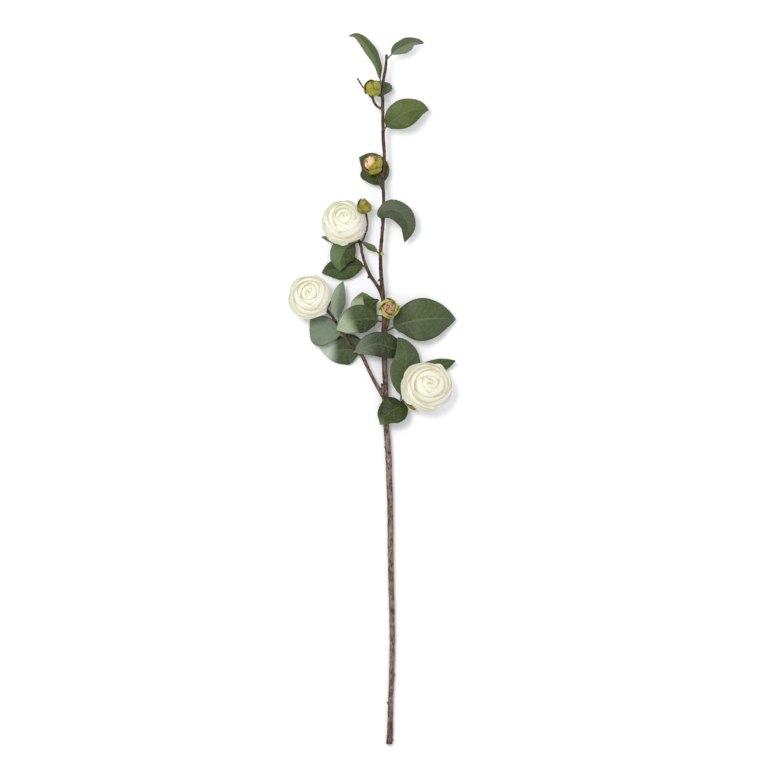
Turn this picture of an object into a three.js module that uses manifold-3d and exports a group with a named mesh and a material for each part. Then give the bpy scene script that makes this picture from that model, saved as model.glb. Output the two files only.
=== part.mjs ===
// Cut camellia spray: a woody stem with side twigs, three double blooms, five buds and twenty leaves.
// All sizes are in mm. x runs right, y runs along the stem from its cut end, z is height over the table.
import * as THREE from 'three';
import Module from 'manifold-3d';
import { mergeVertices } from 'three/addons/utils/BufferGeometryUtils.js';

const wasm = await Module();
wasm.setup();

// ---- driving sizes ----
const CENTRE_X = -22; // middle of the spray's box, measured from the cut end
const CENTRE_Y = 444;
const GAP = 0.32; // air left between two pieces that touch on the real plant
const LEAF_UP = 0.45; // blade thickness over and under its middle surface
const LEAF_DOWN = 0.45;
const RIB_DOWN = 0.9; // the midrib stands out under the blade
const TOOTH = 0.9; // depth of a leaf tooth
const BLADE_ROWS = 5;
const PETAL = 0.8; // petal thickness
const SEPAL = 0.9; // sepal and bud scale thickness
const STEM_SIDES = 8;
const TWIG_SIDES = 6;
const FACET = 0.2; // facets that differ by less than this are joined
const BUD_FACET = 0.15;
const BLOOM_FACET = 0.3;
const SLIVER = 0.02;

// Height of the main stem's middle over the table, and its radius, by distance from the cut end.
const STEM_HEIGHT = [
  [0, 4.2], [394, 8], [446, 11.5], [521, 15.5], [561, 18], [619, 20], [700, 22], [800, 24], [863, 26],
];
const STEM_RADIUS = [
  [0, 4.2], [12, 3.6], [50, 3.3], [271, 3.75], [367, 4.2], [394, 4], [461, 3.5], [505, 3.5],
  [521, 4.3], [540, 3.2], [596, 2.45], [700, 2.2], [806, 2.2], [844, 2], [863, 1.6],
];
const STEM_LINE = [
  [0, 0], [1, 12], [1.8, 43.8], [3.5, 96], [4, 131], [2.6, 205], [1.8, 271], [1.3, 306], [0, 341],
  [-0.9, 367.5], [-3, 394], [-5, 419], [-4.3, 446], [-5.5, 473], [-5.5, 505], [-5.5, 521.6],
  [-6.3, 544], [-7.5, 561], [-9.4, 581], [-10.4, 601], [-10.2, 619], [-8.8, 636], [-6.8, 664],
  [-6.8, 687], [-7.5, 706], [-5.9, 737.5], [-6.9, 752.5], [-7.5, 769], [-7.8, 801], [-8.1, 819],
  [-6.9, 832], [-4.3, 845], [-2.9, 862.5],
];

// Side shoots: points are x, y, z and radius.
const TWIG_A = [
  [-6.5, 553, 17.5, 2.6], [-10.6, 566, 18.5, 2.3], [-16.3, 576.3, 19, 2.2], [-23.8, 587.5, 19, 2.2],
  [-28.8, 598.8, 19, 2], [-33.1, 612.5, 18, 1.9], [-35.9, 626.3, 17, 1.9], [-40, 633.8, 14, 1.8],
  [-48, 637.5, 8.5, 1.8], [-53.5, 641, 4.4, 2.1],
];
const TWIG_B = [
  [-4.5, 430, 10.5, 3], [-8.3, 437.5, 11.5, 2.7], [-16.4, 451.3, 12, 2.4], [-27.3, 472.9, 12.5, 2.3],
  [-34, 486.4, 12, 2.5], [-46.3, 497.3, 11, 2.2], [-55.8, 510.8, 10, 2.2], [-63.8, 524.4, 9, 2.1],
  [-77.5, 543.3, 6, 1.9], [-92, 553.5, 3.4, 2.1],
];
const STALK_C = [
  [-4.5, 413, 9.5, 2.8], [8, 422, 8, 2], [18, 430, 6, 1.9], [30, 438, 4.6, 1.8], [41, 443.6, 3.4, 2.2],
];
const BUD_1_STALK = [
  [-7.8, 793.8, 24, 1.8], [-16.5, 799.3, 25, 1.5], [-20, 807, 25.4, 1.6], [-20.5, 813, 25, 1.9],
];
const BUD_1_STUB = [
  [-19.5, 806, 25, 1.1], [-30.5, 819, 22, 1], [-38.9, 831.8, 23, 1.1], [-39.6, 833, 23, 1.6],
];
const BUD_2_STALK = [[-7, 711, 22, 1.7], [-11, 715, 23, 1.6], [-15, 719.5, 21.5, 1.9]];
const BUD_3_STALK = [
  [-35.6, 625.5, 17, 1.4], [-30.5, 636, 15, 1.2], [-27.2, 646.3, 14, 1.2], [-26.8, 654, 17, 1.2],
  [-29, 664.3, 21, 1.7],
];
const BUD_5_STALK = [[-4.5, 519, 16, 2.2], [-0.5, 530, 18.5, 1.8], [0.2, 541, 21, 1.8], [0, 546, 22.5, 2.4]];
const STUBS = [
  [[-9.6, 583, 19, 1.6], [-13.8, 580, 21.5, 1.1]],
  [[-34, 486, 12, 1.9], [-30.5, 490.5, 14, 1]],
  [[-6.5, 442, 11.5, 2.2], [-9.8, 452, 13.5, 0.8]],
  [[-23.5, 586, 19, 2], [-26.8, 583.5, 19.5, 1.2]],
];
const KNOTS = [
  [6.3, 87.5, 5.2, 1.9], [-1.2, 52, 4.8, 1.8], [2.2, 6, 4.6, 3.3], [5.2, 178, 6.6, 1.7],
  [-0.6, 238, 7, 1.7], [-4.2, 372, 8.4, 2.1], [-1, 326, 8.4, 2], [-7.6, 519, 15.6, 2.6],
];

// Leaves: the middle line from the shoot to the tip, half the blade's width, the way its upper face
// looks at the base and at the tip, the leaf stalk's length, and how far the two halves fold up.
// early below 0.92 makes the blade broadest nearer its base, and above it nearer its tip; sides are the
// shares of the two halves.
const LEAVES = [
  { name: 'leaf_01', half: 11, stalk: 8, fold: 0.3, face: [0.85, 0.3, 0.45], face2: [0.35, 0.5, 0.8],
    colour: 0x4a5d3c,
    path: [[-8.1, 821, 25], [-11.5, 833.8, 27], [-13.5, 846.3, 29.5], [-21, 862.5, 32],
      [-32, 878, 32], [-41.3, 886, 28], [-51.3, 885.6, 22]] },
  { name: 'leaf_02', half: 12, stalk: 8, fold: 0.3, face: [-0.3, -0.75, 0.55], colour: 0x5c6b50,
    path: [[-3, 856, 25.5], [1.3, 860.5, 26], [8.8, 867.5, 28], [20, 873.5, 30], [31.3, 877.8, 29],
      [44.3, 876.5, 24]] },
  { name: 'leaf_03', half: 15, stalk: 6, fold: 0.15, face: [0, 0, 1], colour: 0x3f5230,
    path: [[-7.9, 806.3, 22], [-10, 811, 17.5], [-11, 821, 11.5], [-13.5, 831, 6]] },
  { name: 'leaf_04', half: 18, stalk: 5, fold: 0.2, face: [0.1, 0.1, 1], early: 0.85, colour: 0x51673a,
    path: [[-7.5, 767.5, 23], [-3.8, 771.9, 24], [7.5, 781.8, 26], [23.8, 791, 26],
      [38.8, 795, 22], [50, 793.8, 17]] },
  { name: 'leaf_05', half: 19, stalk: 6, fold: 0.15, face: [0, 0, 1], colour: 0x3f5230,
    path: [[-8.4, 693.8, 20.5], [-12, 702.5, 15.5], [-16.5, 715, 11], [-24.5, 727.5, 9.5],
      [-37.5, 735, 11.5]] },
  { name: 'leaf_06', half: 13.5, stalk: 5, fold: 0.3, face: [0, 0.2, 1], face2: [0.3, 0.2, 0.9],
    early: 0.8, colour: 0x5b6757,
    path: [[-8.4, 657.5, 22], [-13.1, 661.3, 25], [-7.5, 665.6, 29], [3.8, 668.8, 31],
      [16.3, 662.5, 30], [23.8, 648.8, 25], [19.5, 627.5, 16]] },
  { name: 'leaf_07', half: 5.5, stalk: 5, fold: 0.2, face: [0.45, -0.8, 0.35], colour: 0x5d7260,
    path: [[-10.6, 612.5, 20], [-16.3, 617.5, 22], [-24.5, 623.1, 24.5], [-35, 629.6, 25]] },
  { name: 'leaf_08', half: 16.5, stalk: 6, fold: 0.2, face: [0, 0, 1], early: 0.8, colour: 0x556b45,
    path: [[-36.3, 629.4, 15.5], [-44, 627, 13], [-54, 620, 13], [-60.5, 608, 15], [-61.8, 592, 14]] },
  { name: 'leaf_09', half: 15, stalk: 7, fold: 0.15, face: [0, 0, 1], colour: 0x445a2c,
    path: [[-27.5, 596.3, 19], [-31.3, 598.8, 13.5], [-41.3, 598.8, 8.5], [-58.8, 596.3, 6],
      [-73.8, 593.8, 5], [-84.6, 590.1, 4.5]] },
  { name: 'leaf_10', half: 10.5, stalk: 7, fold: 0.3, face: [0.5, -0.1, 0.85], colour: 0x7f8f7a,
    path: [[-63.1, 525, 10], [-63.8, 533.8, 13], [-64.4, 546.3, 17], [-62.5, 562.5, 19],
      [-57, 580.6, 15]] },
  { name: 'leaf_11', half: 18, stalk: 6, fold: 0.2, face: [0, 0, 1], early: 0.8, colour: 0x485c34,
    path: [[-7.5, 528.8, 17], [-13.8, 530, 20], [-26.3, 532.5, 24], [-41.3, 531.3, 26],
      [-53.8, 525, 23], [-65.8, 518.9, 16]] },
  { name: 'leaf_12', half: 19.5, stalk: 8, fold: 0.1, face: [0, 0, 1], colour: 0x5e7158,
    path: [[-7.5, 536.3, 16.5], [-16, 537, 13], [-25.5, 542, 12], [-31.5, 552, 13], [-33.5, 566.3, 16]] },
  { name: 'leaf_13a', half: 28, stalk: 5, fold: 0.08, face: [0.05, 0.1, 1], sides: [1, 0.38],
    colour: 0x6c7b6e,
    path: [[-55.5, 510, 10], [-61.3, 513.5, 11], [-74.5, 521.5, 10.5], [-87, 529.5, 8],
      [-98, 536, 4.5]] },
  { name: 'leaf_13b', half: 19.5, stalk: 5, fold: 0.03, face: [0, 0, 1], early: 0.62, colour: 0x3f5232,
    path: [[-33.5, 486.5, 10.5], [-37, 491, 5.5], [-48.8, 494.5, 3.6], [-65, 493.5, 2.6],
      [-76, 495, 2.6], [-88, 498, 4]] },
  { name: 'leaf_14', half: 16, stalk: 5, fold: 0.2, face: [0, 0, 1], early: 0.95, colour: 0x67765f,
    path: [[-42, 493.4, 11.4], [-43.8, 491.2, 15], [-36, 494.5, 19.2], [-25, 499.5, 21.8], [-13, 501, 22.6],
      [-4, 499, 21.4], [5, 496, 17.5], [16, 492.5, 12], [28, 489.5, 8]] },
  { name: 'leaf_15', half: 20, stalk: 6, fold: 0.12, face: [0.35, 0, 0.93], sides: [1, 0.96],
    colour: 0x55634b,
    path: [[14.5, 430, 6.8], [15.3, 438, 7.5], [17, 455, 8.5], [20, 471, 12], [21.5, 485, 16.5],
      [18, 498, 20], [10.8, 510, 22]] },
  { name: 'leaf_16', half: 27, stalk: 7, fold: 0.12, face: [0, 0, 1], colour: 0x4d5e3a,
    path: [[-2, 518, 15], [5, 521.5, 16], [16.3, 527, 18], [38.8, 531.5, 19], [63.8, 533, 14],
      [83.7, 532.5, 7]] },
  { name: 'leaf_17', half: 12, stalk: 9, fold: 0.02, face: [0, 0, 1], early: 1.15, sides: [0.9, 0.75],
    colour: 0x4f6234,
    path: [[27, 437, 5], [30.5, 452, 2.6], [43, 466, 2.2], [60, 472, 3.5], [73, 476.5, 8.5],
      [83.6, 480.5, 14]] },
  { name: 'leaf_18', half: 18, stalk: 5, fold: 0.2, face: [0, 0, 1], face2: [-0.5, 0.2, 0.8],
    early: 0.72, colour: 0x4a6128,
    path: [[18.5, 430.5, 7.5], [18, 427, 13], [10, 421, 18.5], [0, 415.5, 20], [-7, 409, 18.5],
      [-11.3, 400.2, 12]] },
  { name: 'leaf_19', half: 5.5, stalk: 5, fold: 0.2, face: [0, 0, 1], colour: 0x59645a,
    path: [[-43.9, 633.9, 10.2], [-47, 628.5, 6], [-57, 628, 3.6], [-71, 632.5, 4], [-86, 635.6, 6]] },
];

// Blooms: where the petals start, the way each looks, and its outer radius.
const BLOOMS = [
  { name: 'bloom_a', base: [-56, 645, 6.9], axis: [-0.05, 0.5, 0.86], radius: 26, turn: 0.3, tall: 1.1 },
  { name: 'bloom_b', base: [-97.5, 555.5, 7.6], axis: [-0.15, 0.33, 0.93], radius: 26, turn: 1.13,
    tall: 1.06 },
  { name: 'bloom_c', base: [45, 445.4, 8.95], axis: [0.12, 0.18, 0.975], radius: 31, turn: 2, tall: 0.95 },
];
// Rings of petals in shares of the bloom's radius: root, belly and tip are radius and height.
const RINGS = [
  { count: 5, root: [0.2, 0.06], belly: [0.9, -0.05], tip: [1.06, 0.5], spread: 1.35, across: 3, rows: 3 },
  { count: 5, root: [0.18, 0.12], belly: [1.14, 0.23], tip: [0.94, 0.76], spread: 1.35, across: 3, rows: 3 },
  { count: 5, root: [0.17, 0.18], belly: [1.18, 0.52], tip: [0.79, 0.96], spread: 1.3, across: 3, rows: 2 },
  { count: 4, root: [0.15, 0.27], belly: [1.08, 0.84], tip: [0.6, 1.07], spread: 1.3, across: 2, rows: 2 },
  { count: 3, root: [0.12, 0.38], belly: [0.88, 1], tip: [0.32, 1.16], spread: 1.25, across: 2, rows: 2 },
];
const PETAL_TILT = 0.04; // one edge of each petal lies outside its neighbour by this share, times two
const CORE = [
  [0, 0], [0.24, 0.02], [0.46, 0.22], [0.58, 0.5], [0.5, 0.8], [0.34, 1.02], [0.14, 1.12], [0, 1.14],
];
const CUP = [[0, -0.3], [0.13, -0.3], [0.2, -0.18], [0.28, -0.05], [0.22, -0.015], [0, -0.015]];
const CALYX_RING = {
  count: 5, root: [0.1, -0.25], belly: [0.32, -0.2], tip: [0.56, 0.02], spread: 1.02, across: 2, rows: 2,
};

// Buds: foot point, axis, half width and length; an open bud shows petals in its mouth.
const BUDS = [
  { name: 'bud_1', base: [-20.5, 813.5, 25], axis: [0, 0.7, 0.7], radius: 10.2, length: 21, turn: 0.4 },
  { name: 'bud_2', base: [-14.6, 721, 19.5], axis: [-0.6, 0.4, 0.7], radius: 12, length: 20, turn: 0.2,
    open: true, tip: 0xe6d3c4 },
  { name: 'bud_3', base: [-29, 664.6, 21], axis: [-0.25, 0.9, 0.35], radius: 8.4, length: 19.5, turn: 1.2 },
  { name: 'bud_4', base: [-8.8, 612.5, 22.2], axis: [0.15, 0.5, 0.85], radius: 3.2, length: 6.5, turn: 0,
    small: true },
  { name: 'bud_5', base: [0, 545.5, 22.3], axis: [0.02, 0.05, 1], radius: 11.8, length: 17, turn: 0.9,
    open: true, tip: 0xb98a6a },
];
const BUD_CORE = [[0, 0], [0.42, 0.04], [0.68, 0.26], [0.74, 0.5], [0.56, 0.78], [0, 0.95]];
const OPEN_CORE = [[0, 0], [0.42, 0.04], [0.66, 0.26], [0.62, 0.43], [0.5, 0.5], [0, 0.5]];
const BUD_SCALES = [
  { count: 3, root: [0.3, 0.06], belly: [1.34, 0.16], tip: [0.86, 0.72], spread: 1.02, across: 3, rows: 2 },
  { count: 3, root: [0.5, 0.34], belly: [1.36, 0.56], tip: [0.12, 1.04], spread: 1.02, across: 3, rows: 2 },
];
const OPEN_SCALES = [
  { count: 4, root: [0.3, 0.06], belly: [1.34, 0.12], tip: [0.94, 0.72], spread: 1.02, across: 3, rows: 2 },
  { count: 3, root: [0.45, 0.3], belly: [1.08, 0.4], tip: [0.62, 0.95], spread: 1.02, across: 3, rows: 2 },
];
const TIP_CORE = [[0, 0.53], [0.34, 0.53], [0.38, 0.68], [0.28, 0.86], [0, 1]];
const TIP_PETALS = {
  count: 3, root: [0.2, 0.6], belly: [0.82, 0.74], tip: [0.14, 1.08], spread: 1.1, across: 2, rows: 2,
};

// ---- helpers ----
const vec = (p) => new THREE.Vector3(p[0], p[1], p[2]);

// A value read off a list of [place, value] pairs.
function along(list, place) {
  for (let i = 1; i < list.length; i += 1) {
    if (place <= list[i][0]) {
      const share = (place - list[i - 1][0]) / (list[i][0] - list[i - 1][0]);
      return THREE.MathUtils.lerp(list[i - 1][1], list[i][1], share);
    }
  }
  return list[list.length - 1][1];
}

function fromTriangles(points, triangles) {
  const vertProperties = new Float32Array(points.flatMap((p) => [p.x, p.y, p.z]));
  const mesh = new wasm.Mesh({ numProp: 3, vertProperties, triVerts: new Uint32Array(triangles.flat()) });
  return new wasm.Manifold(mesh);
}

function solid(geometry) {
  geometry.deleteAttribute('uv');
  geometry.deleteAttribute('normal');
  const merged = mergeVertices(geometry, 1e-4);
  const mesh = new wasm.Mesh({
    numProp: 3,
    vertProperties: new Float32Array(merged.attributes.position.array),
    triVerts: new Uint32Array(merged.index.array),
  });
  return new wasm.Manifold(mesh);
}

// One clean body: loose scraps are dropped and sealed hollows are filled.
function oneBody(manifold) {
  let largest = null;
  for (const piece of manifold.decompose()) {
    if (!largest || piece.volume() > largest.volume()) largest = piece;
  }
  return largest;
}

// Fuses what grew together, and joins facets that differ by less than the given amount.
const fuse = (solids, facet = FACET) => oneBody(wasm.Manifold.union(solids).asOriginal().simplify(facet));

// A closed plate from an open sheet of triangles, thickened up and down at each point.
function thicken(points, ups, downs, triangles) {
  const count = points.length;
  const upper = points.map((p, i) => p.clone().add(ups[i]));
  const lower = points.map((p, i) => p.clone().sub(downs[i]));
  const faces = triangles.map((t) => [...t]);
  const edges = new Set(triangles.flatMap(([a, b, c]) => [`${a},${b}`, `${b},${c}`, `${c},${a}`]));
  for (const [a, b, c] of triangles) {
    faces.push([a + count, c + count, b + count]);
    for (const [p, q] of [[a, b], [b, c], [c, a]]) {
      if (!edges.has(`${q},${p}`)) faces.push([q, p, p + count], [q, p + count, q + count]);
    }
  }
  return fromTriangles([...upper, ...lower], faces);
}

// A round limb through points of x, y, z and radius, closed at both ends.
function limb(line, sides, grow = 0) {
  const centres = line.map(vec);
  const points = [];
  const triangles = [];
  let side = new THREE.Vector3(0, 0, -1);
  centres.forEach((centre, i) => {
    const before = centres[Math.max(i - 1, 0)];
    const after = centres[Math.min(i + 1, centres.length - 1)];
    const ahead = after.clone().sub(before).normalize();
    side = side.clone().addScaledVector(ahead, -side.dot(ahead)).normalize();
    const other = new THREE.Vector3().crossVectors(ahead, side);
    const end = i === 0 ? -1 : i === centres.length - 1 ? 1 : 0;
    const middle = centre.clone().addScaledVector(ahead, end * grow);
    for (let k = 0; k < sides; k += 1) {
      const angle = (2 * Math.PI * k) / sides;
      const out = side.clone().multiplyScalar(Math.cos(angle)).addScaledVector(other, Math.sin(angle));
      points.push(middle.clone().addScaledVector(out, line[i][3] + grow));
    }
    if (i > 0) {
      for (let k = 0; k < sides; k += 1) {
        const a = (i - 1) * sides + k;
        const b = (i - 1) * sides + ((k + 1) % sides);
        triangles.push([a, b, b + sides], [a, b + sides, a + sides]);
      }
    }
  });
  const last = (centres.length - 1) * sides;
  for (let k = 1; k < sides - 1; k += 1) {
    triangles.push([0, k + 1, k], [last, last + k, last + k + 1]);
  }
  return fromTriangles(points, triangles);
}

function knot([x, y, z, r], grow) {
  return solid(new THREE.SphereGeometry(r + grow, 6, 4).translate(x, y, z));
}

// The woody piece; a grown copy is used to cut its seat into what grows from it.
function branch(grow = 0) {
  const stem = STEM_LINE.map(([x, y]) => [x, y, along(STEM_HEIGHT, y), along(STEM_RADIUS, y)]);
  const shoots = [
    TWIG_A, TWIG_B, STALK_C, BUD_1_STALK, BUD_1_STUB, BUD_2_STALK, BUD_3_STALK, BUD_5_STALK, ...STUBS,
  ];
  return fuse([
    limb(stem, STEM_SIDES, grow),
    ...shoots.map((line) => limb(line, TWIG_SIDES, grow)),
    ...KNOTS.map((place) => knot(place, grow)),
  ]);
}

// A leaf: its stalk and toothed blade are one closed plate along the middle line.
function leaf(spec) {
  const curve = new THREE.CatmullRomCurve3(spec.path.map(vec), false, 'centripetal');
  const stalkShare = spec.stalk / curve.getLength();
  const face = vec(spec.face).normalize();
  const face2 = vec(spec.face2 || spec.face).normalize();
  const points = [];
  const ups = [];
  const downs = [];
  const triangles = [];
  const place = (s, across, half, up, down) => {
    const here = curve.getPointAt(s);
    const ahead = curve.getTangentAt(s);
    const look = face.clone().lerp(face2, s).normalize();
    const side = new THREE.Vector3().crossVectors(ahead, look).normalize();
    const out = new THREE.Vector3().crossVectors(side, ahead);
    const lift = spec.fold * half * (Math.abs(across) - 0.75 * across * across);
    const share = half > 1 ? (spec.sides || [1, 1])[across < 0 ? 0 : 1] : 1;
    points.push(here.addScaledVector(side, across * half * share).addScaledVector(out, lift));
    ups.push(out.clone().multiplyScalar(up));
    downs.push(out.clone().multiplyScalar(down));
    return points.length - 1;
  };
  const early = spec.early || 0.92;
  const width = (t) => Math.max(spec.half * Math.sin(Math.PI * t ** early) ** 0.85, 0.9);
  const row = (s, half, blade) => [-1, -0.5, 0, 0.5, 1].map((across) => {
    const rib = 1 - Math.abs(across);
    const up = blade ? LEAF_UP : 0.35 + 0.55 * rib;
    const down = blade ? LEAF_DOWN + (RIB_DOWN - LEAF_DOWN) * Math.max(0, 1 - 3 * Math.abs(across)) : up;
    return place(s, across, half, up, down);
  });
  const strip = (back, front) => {
    for (let k = 0; k < back.length - 1; k += 1) {
      if (front[k] !== back[k]) {
        triangles.push([back[k], back[k + 1], front[k + 1]], [back[k], front[k + 1], front[k]]);
      }
    }
  };
  // Leaf stalk.
  let back = row(0, 1, false);
  for (const share of [0.5, 1]) {
    const front = row(stalkShare * share, 0.95, false);
    strip(back, front);
    back = front;
  }
  // Blade, with two teeth a row on each side.
  for (let i = 1; i <= BLADE_ROWS; i += 1) {
    const at = (step) => stalkShare + (1 - stalkShare) * ((i - 1 + step) / BLADE_ROWS);
    const share = (step) => (i - 1 + step) / BLADE_ROWS;
    const end = i === BLADE_ROWS;
    const half = end ? 0 : width(share(1)) - TOOTH;
    const tip = end ? place(1, 0, 0, LEAF_UP, LEAF_DOWN) : -1;
    const front = end ? [tip, tip, tip, tip, tip] : row(at(1), half, true);
    for (const hand of [-1, 1]) {
      const inner = hand < 0 ? 1 : 3;
      const outer = hand < 0 ? 0 : 4;
      const rim = [back[outer]];
      rim.push(place(at(0.36), hand, width(share(0.36)), LEAF_UP, LEAF_DOWN));
      rim.push(place(at(0.5), hand, Math.max(width(share(0.5)) - TOOTH, 0.5), LEAF_UP, LEAF_DOWN));
      rim.push(place(at(0.86), hand, width(share(0.86)), LEAF_UP, LEAF_DOWN));
      rim.push(front[outer]);
      const fan = [[back[inner], rim[0], rim[1]], [back[inner], rim[1], rim[2]],
        [back[inner], rim[2], front[inner]], [front[inner], rim[2], rim[3]]];
      if (!end) fan.push([front[inner], rim[3], rim[4]]);
      for (const [a, b, c] of fan) triangles.push(hand < 0 ? [a, c, b] : [a, b, c]);
    }
    for (const k of [1, 2]) {
      triangles.push([back[k], back[k + 1], front[k + 1]]);
      if (!end) triangles.push([back[k], front[k + 1], front[k]]);
    }
    back = front;
  }
  return thicken(points, ups, downs, triangles).simplify(FACET / 2);
}

// One curved petal, sepal or scale of a ring, in shares of the radius and the height unit.
function petal(ring, index, form) {
  const { radius, unit, thick, turn, pointed, tilt } = form;
  const step = (2 * Math.PI) / ring.count;
  const middle = turn + step * index;
  const { rows, across } = ring;
  const wobble = Math.sin(12.9898 * (index + 1) + 7.1 * ring.count + turn * 31);
  const reach = 1 + 0.035 * wobble;
  const at = (u, v) => {
    const cut = pointed ? 0.3 * Math.abs(u) ** 1.4 : 0.15 * Math.abs(u) ** 2.4;
    const t = v * (1 - cut * v) * reach;
    const a = (1 - t) * (1 - t);
    const b = 2 * t * (1 - t);
    const c = t * t;
    const slope = [0, 1].map(
      (k) => (1 - t) * (ring.belly[k] - ring.root[k]) + t * (ring.tip[k] - ring.belly[k]),
    );
    const shift = (tilt * u * Math.min(1, 0.3 + 2 * t)) / Math.hypot(slope[0], slope[1]);
    const r = radius * (a * ring.root[0] + b * ring.belly[0] + c * ring.tip[0] + shift * slope[1]);
    const z = unit * (a * ring.root[1] + b * ring.belly[1] + c * ring.tip[1] - shift * slope[0]);
    const open = 0.55 + 0.45 * THREE.MathUtils.smoothstep(v, 0, 0.65);
    const angle = middle + u * step * 0.5 * ring.spread * open;
    return new THREE.Vector3(r * Math.cos(angle), r * Math.sin(angle), z);
  };
  const points = [];
  const ups = [];
  const triangles = [];
  for (let j = 0; j <= rows; j += 1) {
    for (let i = 0; i <= across; i += 1) {
      const u = -1 + (2 * i) / across;
      const v = j / rows;
      const du = at(u + 0.02, v).sub(at(u - 0.02, v));
      const dv = at(u, v + 0.02).sub(at(u, v - 0.02));
      points.push(at(u, v));
      ups.push(du.cross(dv).normalize().multiplyScalar(thick / 2));
      if (i > 0 && j > 0) {
        const p = points.length - 1;
        const row = across + 1;
        triangles.push([p - row - 1, p - row, p], [p - row - 1, p, p - 1]);
      }
    }
  }
  return thicken(points, ups, ups, triangles);
}

function turned(profile, radius, unit, sides) {
  const outline = profile.map(([r, z]) => new THREE.Vector2(r * radius, z * unit));
  return solid(new THREE.LatheGeometry(outline, sides).rotateX(Math.PI / 2));
}

// Puts a shape that stands on the origin along z onto its foot point and axis.
function planted(manifold, base, axis, tall = 1) {
  const spin = new THREE.Quaternion().setFromUnitVectors(new THREE.Vector3(0, 0, 1), vec(axis).normalize());
  const matrix = new THREE.Matrix4().compose(vec(base), spin, new THREE.Vector3(1, tall, 1));
  return manifold.transform(matrix.elements);
}

const ringOf = (ring, form) => Array.from({ length: ring.count }, (_, i) => petal(ring, i, form));

function bloomPetals({ base, axis, radius, turn, tall }) {
  const form = { radius, unit: radius, thick: PETAL, tilt: PETAL_TILT };
  const petals = RINGS.flatMap((ring, i) => ringOf(ring, { ...form, turn: turn + i * 0.9 }));
  return planted(fuse([turned(CORE, radius, radius, 8), ...petals], BLOOM_FACET), base, axis, tall);
}

function bloomCalyx({ base, axis, radius, turn }) {
  const form = { radius, unit: radius, thick: SEPAL, tilt: 0.04, turn, pointed: true };
  return planted(fuse([turned(CUP, radius, radius, 8), ...ringOf(CALYX_RING, form)]), base, axis);
}

function bud({ base, axis, radius, length, turn, open, small }) {
  const scales = small ? [] : open ? OPEN_SCALES : BUD_SCALES;
  const form = { radius, unit: length, thick: SEPAL, tilt: 0.09, pointed: true };
  const parts = scales.flatMap((ring, i) => ringOf(ring, { ...form, turn: turn + i * 1.05 }));
  const core = turned(open ? OPEN_CORE : BUD_CORE, radius, length, small ? 7 : 8);
  return planted(fuse([core, ...parts], BUD_FACET), base, axis);
}

function budTip({ base, axis, radius, length, turn }) {
  const form = { radius, unit: length, thick: PETAL, tilt: 0.04, turn: turn + 0.5 };
  return planted(fuse([turned(TIP_CORE, radius, length, 7), ...ringOf(TIP_PETALS, form)]), base, axis);
}

// Cuts away the table's side, and the seat of the wood.
const overTable = (manifold) => manifold.trimByPlane([0, 0, 1], 0);

const group = new THREE.Group();
group.name = 'camellia_spray';

function add(name, manifold, color, roughness = 0.6) {
  const body = oneBody(manifold).asOriginal().simplify(SLIVER).translate([-CENTRE_X, -CENTRE_Y, 0]);
  const { vertProperties, triVerts } = body.getMesh();
  const geometry = new THREE.BufferGeometry();
  geometry.setAttribute('position', new THREE.BufferAttribute(new Float32Array(vertProperties), 3));
  geometry.setIndex(new THREE.BufferAttribute(new Uint32Array(triVerts), 1));
  geometry.computeVertexNormals();
  const mesh = new THREE.Mesh(geometry, new THREE.MeshStandardMaterial({ color, roughness, metalness: 0 }));
  mesh.name = name;
  group.add(mesh);
}

// ---- the spray ----
const wood = branch();
const seat = branch(GAP);
add('branch', wood, 0x6f5a48, 0.85);
for (const spec of LEAVES) add(spec.name, leaf(spec).subtract(seat), spec.colour, 0.45);
for (const spec of BLOOMS) {
  add(`${spec.name}_petals`, overTable(bloomPetals(spec)).subtract(seat), 0xf2efe2, 0.7);
  add(`${spec.name}_calyx`, overTable(bloomCalyx(spec)).subtract(seat), 0x7d8a3c, 0.6);
}
for (const spec of BUDS) {
  add(spec.name, bud(spec).subtract(seat), 0x8f9a3f, 0.55);
  if (spec.open) add(`${spec.name}_tip`, budTip(spec), spec.tip, 0.65);
}

export default group;
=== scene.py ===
# A cut camellia spray lying on a table: a woody shoot, twenty leaves, three double blooms and five buds.
import math
import random

import bpy
import numpy as np
from mathutils import Matrix, Vector, noise


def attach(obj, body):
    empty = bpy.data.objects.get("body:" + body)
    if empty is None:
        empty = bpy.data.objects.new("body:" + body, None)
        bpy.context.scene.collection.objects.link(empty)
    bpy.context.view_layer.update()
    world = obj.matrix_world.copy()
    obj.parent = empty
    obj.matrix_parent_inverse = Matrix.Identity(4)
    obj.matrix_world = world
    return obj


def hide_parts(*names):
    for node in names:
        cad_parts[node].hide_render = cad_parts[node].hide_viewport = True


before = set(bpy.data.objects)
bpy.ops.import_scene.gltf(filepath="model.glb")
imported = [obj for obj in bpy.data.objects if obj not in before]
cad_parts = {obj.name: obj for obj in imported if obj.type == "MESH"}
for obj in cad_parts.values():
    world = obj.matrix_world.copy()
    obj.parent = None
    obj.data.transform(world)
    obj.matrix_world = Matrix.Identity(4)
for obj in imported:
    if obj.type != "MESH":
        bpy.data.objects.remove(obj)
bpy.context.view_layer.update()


# ---- The woody shoot ----
# One main stem with two side twigs, the flower stalks, broken stubs and swollen joints, all grown together.
# The bark is grey-brown and mottled low down and dark red-brown above. The stem is cut off at its foot.
# Places are in mm from the middle of that cut: x to the right, y up the stem, z over the table.
MM = 0.001
CUT_END = Vector((22, -444, 0))
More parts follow.
